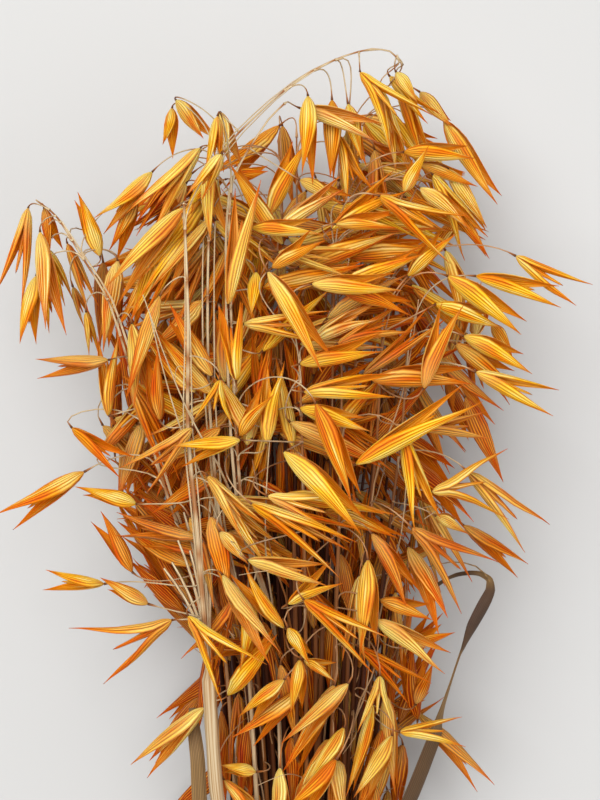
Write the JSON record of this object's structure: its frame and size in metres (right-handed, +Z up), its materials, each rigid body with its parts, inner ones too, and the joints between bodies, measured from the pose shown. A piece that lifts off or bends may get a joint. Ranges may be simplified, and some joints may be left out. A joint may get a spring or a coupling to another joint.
{
  "type": "dried oats bundle",
  "caption": "Bundle of dried oat heads on straw stems with a few dry leaves, tied at the waist with twine and lying on a surface.",
  "frame": {"origin": "on the surface, at the middle of the flat spot under the tie", "axes": "+Z up, +Y along the stems toward the heads, +X to the right when seen from above"},
  "size_m": [0.1464, 0.4504, 0.0865],
  "materials": {
    "dried_oat": "dry husk and straw",
    "dry_leaf": "dry leaf",
    "twine": "natural jute"
  },
  "bodies": {
    "root": {"head_00": "dried_oat", "head_01": "dried_oat", "head_02": "dried_oat", "head_03": "dried_oat", "head_04": "dried_oat", "head_05": "dried_oat", "head_06": "dried_oat", "head_07": "dried_oat", "head_08": "dried_oat", "head_09": "dried_oat", "head_10": "dried_oat", "head_11": "dried_oat", "head_12": "dried_oat", "head_13": "dried_oat", "head_14": "dried_oat", "head_15": "dried_oat", "head_16": "dried_oat", "head_17": "dried_oat", "head_18": "dried_oat", "head_20": "dried_oat", "head_21": "dried_oat", "head_22": "dried_oat", "head_23": "dried_oat", "head_29": "dried_oat", "head_30": "dried_oat", "head_31": "dried_oat", "head_32": "dried_oat", "head_33": "dried_oat", "head_34": "dried_oat", "head_35": "dried_oat", "head_36": "dried_oat", "head_short_arch": "dried_oat", "head_long_arch": "dried_oat", "head_left_straw": "dried_oat", "head_left_droop": "dried_oat", "leaf_right_brown": "dry_leaf", "leaf_left_brown": "dry_leaf", "tie": "twine"}
  },
  "joints": []
}
